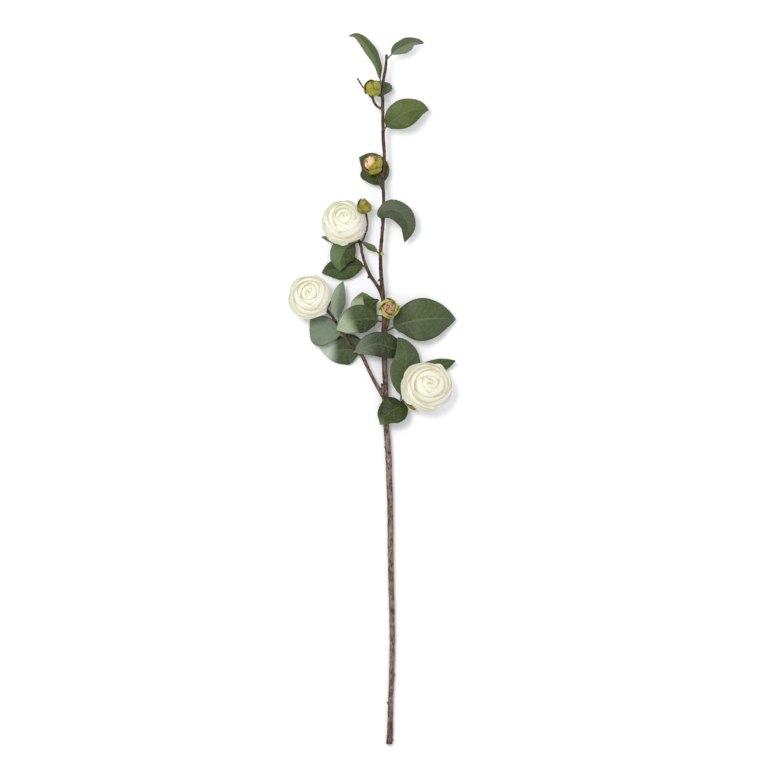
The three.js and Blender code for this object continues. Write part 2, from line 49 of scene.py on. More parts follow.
# Height and radius of the main stem along y, then its line in x and y.
STEM_HEIGHT = [(0, 4.2), (394, 8), (446, 11.5), (521, 15.5), (561, 18), (619, 20), (700, 22), (800, 24),
               (863, 26)]
STEM_RADIUS = [(0, 4.1), (12, 3.7), (50, 3.3), (271, 3.75), (367, 4.1), (394, 3.9), (461, 3.5), (505, 3.5),
               (521, 4), (540, 3.2), (596, 2.45), (700, 2.2), (806, 2.2), (844, 2), (863, 1.6)]
STEM_LINE = [(0, 0), (1, 12), (1.8, 43.8), (3.5, 96), (4, 131), (2.6, 205), (1.8, 271), (1.3, 306), (0, 341),
             (-0.9, 367.5), (-3, 394), (-5, 419), (-4.3, 446), (-5.5, 473), (-5.5, 505), (-5.5, 521.6),
             (-6.3, 544), (-7.5, 561), (-9.4, 581), (-10.4, 601), (-10.2, 619), (-8.8, 636), (-6.8, 664),
             (-6.8, 687), (-7.5, 706), (-5.9, 737.5), (-6.9, 752.5), (-7.5, 769), (-7.8, 801), (-8.1, 819),
             (-6.9, 832), (-4.3, 845), (-2.9, 862.5)]
# Side shoots: x, y, z and radius.
SHOOTS = {
    "twig_a": [(-6.5, 553, 17.5, 2.6), (-10.6, 566, 18.5, 2.3), (-16.3, 576.3, 19, 2.2),
               (-23.8, 587.5, 19, 2.2), (-28.8, 598.8, 19, 2), (-33.1, 612.5, 18, 1.9),
               (-35.9, 626.3, 17, 1.9), (-40, 633.8, 14, 1.8), (-48, 637.5, 8.5, 1.8),
               (-53.5, 641, 4.4, 2.1)],
    "twig_b": [(-4.5, 430, 10.5, 3), (-8.3, 437.5, 11.5, 2.7), (-16.4, 451.3, 12, 2.4),
               (-27.3, 472.9, 12.5, 2.3), (-34, 486.4, 12, 2.5), (-46.3, 497.3, 11, 2.2),
               (-55.8, 510.8, 10, 2.2), (-63.8, 524.4, 9, 2.1), (-77.5, 543.3, 6, 1.9),
               (-92, 553.5, 3.4, 2.1)],
    "stalk_c": [(-4.5, 413, 9.5, 2.8), (8, 422, 8, 2), (18, 430, 6, 1.9), (30, 438, 4.6, 1.8),
                (41, 443.6, 3.4, 2.2)],
    "bud_1_stalk": [(-7.8, 793.8, 24, 1.8), (-16.5, 799.3, 25, 1.5), (-20, 807, 25.4, 1.6),
                    (-20.5, 813, 25, 1.9)],
    "bud_1_stub": [(-19.5, 806, 25, 1.1), (-30.5, 819, 22, 1), (-38.9, 831.8, 23, 1.1),
                   (-39.6, 833, 23, 1.6)],
    "bud_2_stalk": [(-7, 711, 22, 1.7), (-11, 715, 23, 1.6), (-15, 719.5, 21.5, 1.9)],
    "bud_3_stalk": [(-35.6, 625.5, 17, 1.4), (-30.5, 636, 15, 1.2), (-27.2, 646.3, 14, 1.2),
                    (-26.8, 654, 17, 1.2), (-29, 664.3, 21, 1.7)],
    "bud_5_stalk": [(-4.5, 519, 16, 2.2), (-0.5, 530, 18.5, 1.8), (0.2, 541, 21, 1.8), (0, 546, 22.5, 2.4)],
    "stub_1": [(-9.6, 583, 19, 1.6), (-13.8, 580, 21.5, 1.1)],
    "stub_2": [(-34, 486, 12, 1.9), (-30.5, 490.5, 14, 1)],
    "stub_3": [(-6.5, 442, 11.5, 2.2), (-9.8, 452, 13.5, 0.8)],
    "stub_4": [(-23.5, 586, 19, 2), (-26.8, 583.5, 19.5, 1.2)],
}
# Swollen joints and leaf scars: x, y, z and radius.
KNOTS = [(6.3, 87.5, 5.2, 1.9), (-1.2, 52, 4.8, 1.8), (2.2, 6, 4.6, 3.3), (5.2, 178, 6.6, 1.7),
         (-0.6, 238, 7, 1.7), (-4.2, 372, 8.4, 2.1), (-1, 326, 8.4, 2), (-7.6, 519, 15.6, 2.6),
         (-8.2, 700, 22, 2.6), (-7.2, 768, 23.4, 2.6), (-8.2, 656, 21.4, 2.6), (-10.6, 612, 20, 2.7),
         (-35.8, 628, 16.6, 2.3), (-62.5, 523, 9.6, 2.5)]
BARK_VOXEL = 0.62 * MM
BARK_LUMPS = [(9, 0.5), (3.2, 0.32), (1.4, 0.16)]  # size and depth of the bark's lumps, in mm
BARK_RELIEF = 0.6  # share of those depths that is raised


def spot(point):
    """A place measured in mm from the cut end, in the frame's metres."""
    return (Vector(point[:3]) + CUT_END) * MM


def read_off(pairs, place):
    """The amount at a place, between pairs of place and amount."""
    return float(np.interp(place, [p[0] for p in pairs], [p[1] for p in pairs]))


def tube(name, line):
    """A round shoot on a smooth curve through points of x, y, z and radius."""
    bpy.ops.curve.primitive_bezier_curve_add()
    shoot = bpy.context.object
    shoot.name = name
    curve = shoot.data
    curve.dimensions = "3D"
    curve.bevel_depth = MM
    curve.bevel_resolution = 5
    curve.resolution_u = 6
    curve.use_fill_caps = True
    spline = curve.splines[0]
    spline.bezier_points.add(len(line) - 2)
    for knot, (x, y, z, radius) in zip(spline.bezier_points, line):
        knot.co = spot((x, y, z))
        knot.handle_left_type = "AUTO"
        knot.handle_right_type = "AUTO"
        knot.radius = radius
    bpy.ops.object.convert(target="MESH")
    return shoot


def join(name, pieces):
    """One object of several, named, with its place in its mesh."""
    bpy.ops.object.select_all(action="DESELECT")
    for piece in pieces:
        piece.select_set(True)
    bpy.context.view_layer.objects.active = pieces[0]
    if len(pieces) > 1:
        bpy.ops.object.join()
    bpy.ops.object.transform_apply(location=True, rotation=True, scale=True)
    whole = bpy.context.object
    whole.name = name
    whole.data.name = name
    return whole


def keep_as(piece, material, slot, solid):
    """Gives a finished piece its name, its material and its place in the frame."""
    piece.name = f"modelled_{solid}"
    piece.data.materials.clear()
    piece.data.materials.append(material)
    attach(piece, "root")
    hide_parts(solid)


bpy.ops.object.select_all(action="DESELECT")
stem = [(x, y, read_off(STEM_HEIGHT, y), read_off(STEM_RADIUS, y)) for x, y in STEM_LINE]
wood = [tube("stem", stem)] + [tube(name, line) for name, line in SHOOTS.items()]
for x, y, z, radius in KNOTS:
    bpy.ops.mesh.primitive_ico_sphere_add(subdivisions=2, radius=radius * MM, location=spot((x, y, z)))
    wood.append(bpy.context.object)
branch = join("shoot", wood)
remesh = branch.modifiers.new("grown together", "REMESH")
remesh.mode = "VOXEL"
remesh.voxel_size = BARK_VOXEL
soften = branch.modifiers.new("soften", "SMOOTH")
soften.iterations = 4
for modifier in ("grown together", "soften"):
    bpy.ops.object.modifier_apply(modifier=modifier)
bark_places = [vertex.co.copy() for vertex in branch.data.vertices]
bark_ways = [vertex.normal.copy() for vertex in branch.data.vertices]
for vertex, place, way in zip(branch.data.vertices, bark_places, bark_ways):
    rise = sum(depth * noise.noise(place / (size * MM)) for size, depth in BARK_LUMPS)
    moved = place + way * rise * MM * BARK_RELIEF
    moved.y = max(moved.y, CUT_END.y * MM)
    moved.z = max(moved.z, 0)
    vertex.co = moved
bpy.ops.object.shade_smooth()


def new_group(name, inputs, outputs):
    """An empty shader group with named sockets."""
    group = bpy.data.node_groups.new(name, "ShaderNodeTree")
    for socket, kind, value in inputs:
        made = group.interface.new_socket(socket, in_out="INPUT", socket_type=kind)
        if value is not None:
            made.default_value = value
    for socket, kind in outputs:
        group.interface.new_socket(socket, in_out="OUTPUT", socket_type=kind)
    return group, group.nodes.new("NodeGroupInput"), group.nodes.new("NodeGroupOutput")


def node(tree, kind, settings=None, **inputs):
    """A node with its settings. Each input, by its name or as i and its number, gets a value or a link."""
    made = tree.nodes.new(kind)
    for setting, value in (settings or {}).items():
        setattr(made, setting, value)
    for socket, value in inputs.items():
        numbered = socket[0] == "i" and socket[1:].isdigit()
        target = made.inputs[int(socket[1:]) if numbered else socket]
        if isinstance(value, bpy.types.NodeSocket):
            tree.links.new(value, target)
        else:
            target.default_value = value
    return made


def blend_colours(tree, factor, first, second, mode="MIX"):
    """The colour between two colours, each a value or a socket."""
    mixed = tree.nodes.new("ShaderNodeMix")
    mixed.data_type = "RGBA"
    mixed.blend_type = mode
    for index, value in ((0, factor), (6, first), (7, second)):
        if isinstance(value, bpy.types.NodeSocket):
            tree.links.new(value, mixed.inputs[index])
        elif index == 0:
            mixed.inputs[0].default_value = value
        else:
            mixed.inputs[index].default_value = (*value, 1)
    return mixed.outputs[2]


def band(tree, value, low, high, to_low=0.0, to_high=1.0):
    """A smooth step of a value from one amount to another."""
    step = node(tree, "ShaderNodeMapRange", {"interpolation_type": "SMOOTHSTEP"},
                i0=value, i1=low, i2=high, i3=to_low, i4=to_high)
    return step.outputs[0]


def maths(tree, operation, first, second=0.0):
    """The result of one sum on two values or sockets."""
    return node(tree, "ShaderNodeMath", {"operation": operation}, i0=first, i1=second).outputs[0]


def linear(red, green, blue):
    """A colour as a screen shows it, 0 to 255, in the shader's linear values."""
    return tuple(((c / 255 + 0.055) / 1.055) ** 2.4 for c in (red, green, blue))


def new_finish(name):
    """An empty material and its Principled shader."""
    material = bpy.data.materials.new(name)
    material.use_nodes = True
    return material, material.node_tree, material.node_tree.nodes["Principled BSDF"]


# Soft blotches, used by every finish.
mottle, took, gave = new_group(
    "mottle",
    [("Vector", "NodeSocketVector", None), ("Scale", "NodeSocketFloat", 100.0),
     ("Low", "NodeSocketFloat", 0.4), ("High", "NodeSocketFloat", 0.6)],
    [("Mask", "NodeSocketFloat"), ("Height", "NodeSocketFloat")])
blotch = node(mottle, "ShaderNodeTexNoise", Vector=took.outputs["Vector"], Scale=took.outputs["Scale"],
              Detail=4.0, Roughness=0.6)
step = node(mottle, "ShaderNodeMapRange", {"interpolation_type": "SMOOTHSTEP"}, i0=blotch.outputs[0],
            i1=took.outputs["Low"], i2=took.outputs["High"])
mottle.links.new(step.outputs[0], gave.inputs["Mask"])
mottle.links.new(blotch.outputs[0], gave.inputs["Height"])


def blotches(tree, vector, scale, low, high):
    """The mask and the height of blotches: scale is how many lie in a metre, low and high set their edges."""
    placed = tree.nodes.new("ShaderNodeGroup")
    placed.node_tree = mottle
    tree.links.new(vector, placed.inputs["Vector"])
    for socket, value in (("Scale", scale), ("Low", low), ("High", high)):
        placed.inputs[socket].default_value = value
    return placed.outputs


BARK_DARK = linear(50, 34, 28)
BARK_RED = linear(92, 71, 53)
BARK_BROWN = linear(74, 56, 48)
BARK_GREY = linear(140, 120, 106)
BARK_PALE = linear(186, 172, 152)
BARK_WEATHERED = linear(74, 50, 42)
CUT_WOOD = linear(126, 104, 84)
BARK_STRETCH = (1.0, 0.45, 1.0)  # blotches are drawn out along the stem
PATCHES, FLECKS, GRAINS = 230, 640, 1100  # marks in a metre
GRAIN_SHOWS = 0.45
OLD_TO, YOUNG_FROM = -0.1, 0.1  # along y, in metres
FLECKS_ON_OLD, FLECKS_ON_YOUNG = 0.4, 0.12
WEATHERED_SHOWS = 0.6
FOOT_Y, WEATHERED_TO = -0.444, -0.39
CUT_FACE = (-0.44395, -0.4436)
bark, tree, skin_of_wood = new_finish("bark")
here = node(tree, "ShaderNodeTexCoord").outputs["Object"]
along_stem = node(tree, "ShaderNodeSeparateXYZ", i0=here).outputs[1]
stretched = node(tree, "ShaderNodeMapping", Vector=here, Scale=BARK_STRETCH).outputs[0]
age = band(tree, along_stem, OLD_TO, YOUNG_FROM)
patches = blotches(tree, stretched, PATCHES, 0.4, 0.6)
flecks = blotches(tree, stretched, FLECKS, 0.5, 0.62)
grains = blotches(tree, here, GRAINS, 0.42, 0.6)
old = blend_colours(tree, patches[0], BARK_GREY, BARK_BROWN)
young = blend_colours(tree, patches[0], BARK_RED, BARK_DARK)
body = blend_colours(tree, age, old, young)
body = blend_colours(tree, maths(tree, "MULTIPLY", grains[0], GRAIN_SHOWS), body, BARK_DARK)
pale = band(tree, along_stem, OLD_TO, YOUNG_FROM, FLECKS_ON_OLD, FLECKS_ON_YOUNG)
body = blend_colours(tree, maths(tree, "MULTIPLY", flecks[0], pale), body, BARK_PALE)
weathered = band(tree, along_stem, FOOT_Y, WEATHERED_TO, WEATHERED_SHOWS, 0.0)
body = blend_colours(tree, weathered, body, BARK_WEATHERED)
body = blend_colours(tree, band(tree, along_stem, *CUT_FACE, 1.0, 0.0), body, CUT_WOOD)
tree.links.new(body, skin_of_wood.inputs["Base Color"])
tree.links.new(band(tree, patches[1], 0.3, 0.7, 0.62, 0.85), skin_of_wood.inputs["Roughness"])
skin_of_wood.inputs["Specular IOR Level"].default_value = 0.2
grain = maths(tree, "ADD", flecks[1], patches[1])
bump = node(tree, "ShaderNodeBump", Strength=0.5, Distance=0.0006, Height=grain)
tree.links.new(bump.outputs[0], skin_of_wood.inputs["Normal"])
keep_as(branch, bark, "bark", "branch")


# ---- The leaves ----
# Leathery oval blades with a fine saw edge, a sunken midrib and side veins, each on a short stalk.
# They grow singly from the shoot's joints, dark green with a soft sheen above and paler below.
BLADE_HALF = 0.28  # half the blade's thickness, in mm
STALK_HALF = 1.0
TOOTH_DEPTH = 0.75
TOOTH_SPACING = 2.7
TOOTH_STEPS = 5
STALK_STEPS = 8
LEAF_COLUMNS = 26
LINE_STEPS = 40
RIB_WIDTH = 0.85
RIB_SUNK = 0.3
RIB_RAISED = 0.75  # on the underside
EDGE_WAVE = 0.045  # in shares of the width
QUILTING = 0.16  # how far the blade swells between its side veins, in mm
TABLE_GAP = 0.05  # least height over the table, in mm
COLUMN_CROWDING = 1.3  # columns lie closer together at the midrib
FEWEST_PAIRS, PAIR_SPACING = 5, 9
OVAL_EARLY, OVAL_POWER = 0.92, 0.85
VEIN_LEAN = 0.2
FOLD_EASING = 0.75  # a folded half flattens out towards its edge
LEAF_DEPTH = (0.72, 0.78, 0.62)  # a blade's own colour against the colour that it shows under the light
# Each has half its blade's width, its stalk's length, how far its halves fold up, the way its upper face
# looks at its foot (face) and its tip (face2), the colours of its left and right halves and its tip, and its
# middle line. These colours hold the leaf's green, with painted sheen in the pale grey ones (such as the left
# halves of leaf_10 and leaf_12 and the tips of leaf_11 and leaf_13b) and painted shade in dark ones
# (leaf_14).
# A low "early" puts its widest part near its foot, "sides" narrows a half, and "foot" is the colour of its
# foot: painted shade where it is darker than the blade (leaf_16), painted sheen where it is paler (leaf_14).
LEAVES = [
    dict(name="leaf_01", half=11, stalk=8, fold=0.3, face=(0.85, 0.3, 0.45), face2=(0.35, 0.5, 0.8),
         left=(120, 126, 98), right=(86, 100, 60), tip=(100, 110, 80), path=[
             (-8.1, 821, 25), (-11.5, 833.8, 27), (-13.5, 846.3, 29.5), (-21, 862.5, 32), (-32, 878, 32),
             (-41.3, 886, 28), (-51.3, 885.6, 22)]),
    dict(name="leaf_02", half=12, stalk=8, fold=0.3, face=(-0.3, -0.75, 0.55), left=(98, 108, 84),
         right=(136, 140, 126), tip=(96, 104, 84), path=[
             (-3, 856, 25.5), (1.3, 860.5, 26), (8.8, 867.5, 28), (20, 873.5, 30), (31.3, 877.8, 29),
             (44.3, 876.5, 24)]),
    dict(name="leaf_03", half=15, stalk=6, fold=0.15, face=(0, 0, 1), left=(84, 98, 58), right=(96, 108, 84),
         tip=(84, 98, 70), path=[(-7.9, 806.3, 22), (-10, 811, 17.5), (-11, 821, 11.5), (-13.5, 831, 6)]),
    dict(name="leaf_04", half=18, stalk=5, fold=0.2, face=(0.1, 0.1, 1), early=0.85, left=(98, 110, 60),
         right=(84, 98, 48), tip=(96, 106, 68), foot=(72, 88, 42), path=[
             (-7.5, 767.5, 23), (-3.8, 771.9, 24), (7.5, 781.8, 26), (23.8, 791, 26), (38.8, 795, 22),
             (50, 793.8, 17)]),
    dict(name="leaf_05", half=19, stalk=6, fold=0.15, face=(0, 0, 1), left=(60, 70, 38), right=(80, 88, 54),
         tip=(80, 90, 62), path=[
             (-8.4, 693.8, 20.5), (-12, 702.5, 15.5), (-16.5, 715, 11), (-24.5, 727.5, 9.5),
             (-37.5, 735, 11.5)]),
    dict(name="leaf_06", half=13.5, stalk=5, fold=0.3, face=(0, 0.2, 1), face2=(0.3, 0.2, 0.9), early=0.8,
         left=(92, 98, 86), right=(74, 84, 66), tip=(76, 86, 60), path=[
             (-8.4, 657.5, 22), (-13.1, 661.3, 25), (-7.5, 665.6, 29), (3.8, 668.8, 31), (16.3, 662.5, 30),
             (23.8, 648.8, 25), (19.5, 627.5, 16)]),
    dict(name="leaf_07", half=5.5, stalk=5, fold=0.2, face=(0.45, -0.8, 0.35), left=(84, 98, 76),
         right=(112, 124, 104), tip=(84, 98, 76), path=[
             (-10.6, 612.5, 20), (-16.3, 617.5, 22), (-24.5, 623.1, 24.5), (-35, 629.6, 25)]),
    dict(name="leaf_08", half=16.5, stalk=6, fold=0.2, face=(0, 0, 1), early=0.8, left=(56, 70, 22),
         right=(106, 122, 92), tip=(90, 106, 76), path=[
             (-36.3, 629.4, 15.5), (-44, 627, 13), (-54, 620, 13), (-60.5, 608, 15), (-61.8, 592, 14)]),
    dict(name="leaf_09", half=15, stalk=7, fold=0.15, face=(0, 0, 1), left=(56, 76, 12), right=(47, 62, 10),
         tip=(68, 82, 42), path=[
             (-27.5, 596.3, 19), (-31.3, 598.8, 13.5), (-41.3, 598.8, 8.5), (-58.8, 596.3, 6),
             (-73.8, 593.8, 5), (-84.6, 590.1, 4.5)]),
    # leaf_10's pale left half is painted sheen.
    dict(name="leaf_10", half=10.5, stalk=7, fold=0.3, face=(0.5, -0.1, 0.85), left=(168, 178, 172),
         right=(126, 136, 124), tip=(134, 146, 132), path=[
             (-63.1, 525, 10), (-63.8, 533.8, 13), (-64.4, 546.3, 17), (-62.5, 562.5, 19), (-57, 580.6, 15)]),
    # leaf_11's pale tip is painted sheen.
    dict(name="leaf_11", half=18, stalk=6, fold=0.2, face=(0, 0, 1), early=0.8, left=(48, 58, 30),
         right=(68, 82, 48), tip=(180, 192, 176), tip_from=0.52, path=[
             (-7.5, 528.8, 17), (-13.8, 530, 20), (-26.3, 532.5, 24), (-41.3, 531.3, 26), (-53.8, 525, 23),
             (-65.8, 518.9, 16)]),
    # leaf_12's pale left half is painted sheen.
    dict(name="leaf_12", half=19.5, stalk=8, fold=0.1, face=(0, 0, 1), left=(196, 200, 186),
         right=(64, 80, 38), tip=(100, 114, 82), path=[
             (-7.5, 536.3, 16.5), (-16, 537, 13), (-25.5, 542, 12), (-31.5, 552, 13), (-33.5, 566.3, 16)]),
    dict(name="leaf_13a", half=28, stalk=5, fold=0.08, face=(0.05, 0.1, 1), sides=(1, 0.38),
         left=(126, 137, 130), right=(116, 128, 124), tip=(104, 120, 98), path=[
             (-55.5, 510, 10), (-61.3, 513.5, 11), (-74.5, 521.5, 10.5), (-87, 529.5, 8), (-98, 536, 4.5)]),
    # leaf_13b's pale blue-grey tip is a painted reflection.
    dict(name="leaf_13b", half=19.5, stalk=5, fold=0.03, face=(0, 0, 1), early=0.62, left=(62, 76, 48),
         right=(60, 72, 44), tip=(210, 218, 224), tip_from=0.55, path=[
             (-33.5, 486.5, 10.5), (-37, 491, 5.5), (-48.8, 494.5, 3.6), (-65, 493.5, 2.6), (-76, 495, 2.6),
             (-88, 498, 4)]),
    # leaf_14's dark halves are painted shade where it bends away from the light, and its pale foot is painted
    # sheen.
    dict(name="leaf_14", half=16, stalk=5, fold=0.2, face=(0, 0, 1), early=0.95, left=(58, 66, 50),
         right=(52, 60, 42), tip=(54, 60, 42), foot=(118, 128, 116), path=[
             (-42, 493.4, 11.4), (-43.8, 491.2, 15), (-36, 494.5, 19.2), (-25, 499.5, 21.8), (-13, 501, 22.6),
             (-4, 499, 21.4), (5, 496, 17.5), (16, 492.5, 12), (28, 489.5, 8)]),
    dict(name="leaf_15", half=20, stalk=6, fold=0.12, face=(0.35, 0, 0.93), sides=(1, 0.96),
         left=(94, 106, 78), right=(90, 98, 76), tip=(80, 90, 60), path=[
             (14.5, 430, 6.8), (15.3, 438, 7.5), (17, 455, 8.5), (20, 471, 12), (21.5, 485, 16.5),
             (18, 498, 20), (10.8, 510, 22)]),
    # leaf_16's dark foot is a painted shadow.
    dict(name="leaf_16", half=27, stalk=7, fold=0.12, face=(0, 0, 1), left=(84, 94, 66), right=(80, 90, 66),
         tip=(80, 90, 66), foot=(60, 70, 46), path=[
             (-2, 518, 15), (5, 521.5, 16), (16.3, 527, 18), (38.8, 531.5, 19), (63.8, 533, 14),
             (83.7, 532.5, 7)]),
    dict(name="leaf_17", half=12, stalk=9, fold=0.02, face=(0, 0, 1), early=1.15, sides=(0.9, 0.75),
         left=(80, 92, 58), right=(86, 96, 60), tip=(74, 86, 54), path=[
             (27, 437, 5), (30.5, 452, 2.6), (43, 466, 2.2), (60, 472, 3.5), (73, 476.5, 8.5),
             (83.6, 480.5, 14)]),
    dict(name="leaf_18", half=18, stalk=5, fold=0.2, face=(0, 0, 1), face2=(-0.5, 0.2, 0.8), early=0.72,
         left=(50, 64, 14), right=(44, 54, 16), tip=(102, 116, 80), path=[
             (18.5, 430.5, 7.5), (18, 427, 13), (10, 421, 18.5), (0, 415.5, 20), (-7, 409, 18.5),
             (-11.3, 400.2, 12)]),
    dict(name="leaf_19", half=5.5, stalk=5, fold=0.2, face=(0, 0, 1), left=(96, 104, 96),
         right=(110, 118, 110), tip=(110, 116, 110), path=[
             (-43.9, 633.9, 10.2), (-47, 628.5, 6), (-57, 628, 3.6), (-71, 632.5, 4), (-86, 635.6, 6)]),
]


def even_line(points):
    """A smooth curve through points: its length, and functions for the place and the way at a share of it."""
    held = [2 * points[0] - points[1], *points, 2 * points[-1] - points[-2]]
    dense = []
    for p0, p1, p2, p3 in zip(held, held[1:], held[2:], held[3:]):
        t1 = (p1 - p0).length ** 0.5
        t2 = t1 + (p2 - p1).length ** 0.5
        t3 = t2 + (p3 - p2).length ** 0.5
        for k in range(LINE_STEPS):
            t = t1 + (t2 - t1) * k / LINE_STEPS
            a1 = p0.lerp(p1, t / t1)
            a2 = p1.lerp(p2, (t - t1) / (t2 - t1))
            a3 = p2.lerp(p3, (t - t2) / (t3 - t2))
            b1 = a1.lerp(a2, t / t2)
            b2 = a2.lerp(a3, (t - t1) / (t3 - t1))
            dense.append(b1.lerp(b2, (t - t1) / (t2 - t1)))
    dense.append(points[-1])
    line = np.array([list(p) for p in dense])
    steps = np.linalg.norm(np.diff(line, axis=0), axis=1)
    run = np.concatenate([[0], np.cumsum(steps)])

    def place(share):
        return Vector([float(np.interp(share * run[-1], run, line[:, k])) for k in range(3)])

    def ahead(share):
        return (place(min(share + 0.01, 1)) - place(max(share - 0.01, 0))).normalized()

    return run[-1], place, ahead


SAME_PLACE = 2e-6  # in metres


def skin(name, columns, rows, lay):
    """A closed skin. A grid is rolled round so that its left and right edges meet, and lay(u, v) puts its
    points. Half way round it turns over: u runs across the upper side, then back across the underside."""
    bpy.ops.object.select_all(action="DESELECT")
    bpy.ops.mesh.primitive_grid_add(x_subdivisions=2 * columns, y_subdivisions=rows, size=1)
    piece = bpy.context.object
    piece.name = name
    mesh = piece.data
    for vertex in mesh.vertices:
        vertex.co = lay(vertex.co.x + 0.5, vertex.co.y + 0.5)
    corners = np.zeros(2 * len(mesh.loops), np.float32)
    mesh.uv_layers[0].data.foreach_get("uv", corners)
    across = corners[0::2].copy()
    corners[0::2] = np.where(across <= 0.5, 2 * across, 2 - 2 * across)
    mesh.uv_layers[0].data.foreach_set("uv", corners)
    sides = across.reshape(-1, 4).mean(1) > 0.5
    under = mesh.attributes.new("under", "FLOAT", "FACE")
    under.data.foreach_set("value", sides.astype(np.float32))
    bpy.ops.object.mode_set(mode="EDIT")
    bpy.ops.mesh.select_all(action="SELECT")
    bpy.ops.mesh.remove_doubles(threshold=SAME_PLACE)
    bpy.ops.mesh.normals_make_consistent(inside=False)
    bpy.ops.object.mode_set(mode="OBJECT")
    bpy.ops.object.shade_smooth()
    return piece


def smooth(low, high, value):
    """A smooth step from 0 at low to 1 at high."""
    share = min(max((value - low) / (high - low), 0), 1)
    return share * share * (3 - 2 * share)


def leaf(spec, seed):
    """A leaf's closed skin, from the foot of its stalk to its tip, and its number of pairs of side veins."""
    length, place, ahead = even_line([Vector(p) for p in spec["path"]])
    stalk_share = spec["stalk"] / length
    teeth = round((length - spec["stalk"]) / TOOTH_SPACING)
    blade_rows = teeth * TOOTH_STEPS
    rows = STALK_STEPS + blade_rows
    face = Vector(spec["face"]).normalized()
    face2 = Vector(spec.get("face2", spec["face"])).normalized()
    early = spec.get("early", OVAL_EARLY)
    sides = spec.get("sides", (1, 1))
    pairs = max(FEWEST_PAIRS, round(length / PAIR_SPACING))
    chance = random.Random(seed)
    waves = [(chance.uniform(2.2, 3.6), chance.uniform(0, 6.3)) for _ in range(2)]

    def lay(u, v):
        row = round(v * rows)
        t = max(row - STALK_STEPS, 0) / blade_rows
        s = stalk_share * min(row, STALK_STEPS) / STALK_STEPS + (1 - stalk_share) * t
        top = u <= 0.5
        x = 4 * u - 1 if top else 3 - 4 * u
        a = math.copysign(abs(x) ** COLUMN_CROWDING, x)
        turn = math.pi * (x + 1) / 2
        width = max(spec["half"] * math.sin(math.pi * min(t, 1) ** early) ** OVAL_POWER - 0.3, 0)
        width *= sides[0 if a < 0 else 1] if width > 1 else 1
        blade = smooth(0, 0.07, t)
        notch = (row - STALK_STEPS) % TOOTH_STEPS / (TOOTH_STEPS - 1) if row > STALK_STEPS else 0
        tooth = TOOTH_DEPTH * (notch ** 1.3 - 0.4) * min(1, width / 6) * smooth(0.08, 0.2, t)
        round_x = -math.cos(turn) * STALK_HALF * (0 if row == 0 else 1)
        shift = round_x * (1 - blade) + (a * width + math.copysign(tooth * abs(a) ** 10, a)) * blade
        rim = max(1 - abs(a) ** 8, 0) ** 0.5
        closing = (1 - t ** 20) if row < rows else 0
        rib = math.exp(-((a * width / RIB_WIDTH) ** 2)) * (1 - 0.75 * t)
        if top:
            thick = BLADE_HALF * rim * closing - RIB_SUNK * rib * blade
            stalk = STALK_HALF * 0.8 * math.sin(turn)
        else:
            thick = -BLADE_HALF * rim * closing - RIB_RAISED * rib * closing
            stalk = -STALK_HALF * 0.9 * math.sin(turn)
        stalk *= 0 if row == 0 else 1
        rise = stalk * (1 - blade) + thick * blade
        wave_count, wave_start = waves[0 if a < 0 else 1]
        wave = EDGE_WAVE * width * a * a * math.sin(2 * math.pi * wave_count * t + wave_start)
        side_vein = pairs * (t - VEIN_LEAN * abs(a)) + (0.5 if a < 0 else 0)
        quilt = -QUILTING * math.cos(2 * math.pi * side_vein) * math.sin(math.pi * min(abs(a) * 1.05, 1))
        lift = spec["fold"] * width * (abs(a) - FOLD_EASING * a * a)
        rise += blade * (wave + quilt * min(width / 8, 1) + lift)
        along = ahead(s)
        side = along.cross(face.lerp(face2, s).normalized()).normalized()
        out = side.cross(along)
        where = place(s) + side * shift + out * rise
        where.z = max(where.z, TABLE_GAP)
        return spot(where)

    return skin(spec["name"], LEAF_COLUMNS, rows, lay), pairs


# The veins, read off a blade's own map: x runs across it and y from its foot to its tip.
veins, took, gave = new_group(
    "veins",
    [("Vector", "NodeSocketVector", None), ("Pairs", "NodeSocketFloat", 8.0)],
    [("Rib", "NodeSocketFloat"), ("Veins", "NodeSocketFloat"), ("Margin", "NodeSocketFloat")])
apart = node(veins, "ShaderNodeSeparateXYZ", i0=took.outputs["Vector"]).outputs
signed = maths(veins, "SUBTRACT", apart[0], 0.5)
off = maths(veins, "MULTIPLY", maths(veins, "ABSOLUTE", signed), 2.0)
left_half = maths(veins, "MULTIPLY", maths(veins, "LESS_THAN", signed, 0.0), 0.5)
leant = maths(veins, "SUBTRACT", apart[1], maths(veins, "MULTIPLY", off, 0.19))
count = maths(veins, "ADD", maths(veins, "MULTIPLY", leant, took.outputs["Pairs"]), left_half)
saw = maths(veins, "ABSOLUTE", maths(veins, "SUBTRACT", maths(veins, "FRACT", count), 0.5))
line_mask = band(veins, saw, 0.36, 0.5)
fade = band(veins, off, 0.9, 0.3)
veins.links.new(maths(veins, "MULTIPLY", line_mask, fade), gave.inputs["Veins"])
veins.links.new(band(veins, off, 0.11, 0.02), gave.inputs["Rib"])
veins.links.new(band(veins, off, 0.95, 1.0), gave.inputs["Margin"])


VEIN_PALE = linear(176, 188, 138)
RIB_PALE = linear(150, 160, 104)
MARGIN_BROWN = linear(120, 118, 60)
UNDERSIDE = linear(142, 156, 108)
CLOUD_TINT = (0.75, 0.78, 0.5)
SPECK_GREEN = (0.3, 0.36, 0.16)
CLOUDS, SPECKS, CELLS = 70, 420, 900.0  # marks in a metre
CLOUDS_SHOW, SPECKS_SHOW, VEINS_SHOW, RIB_SHOWS, MARGIN_SHOWS, UNDER_SHOWS = 0.3, 0.12, 0.16, 0.2, 0.4, 0.55


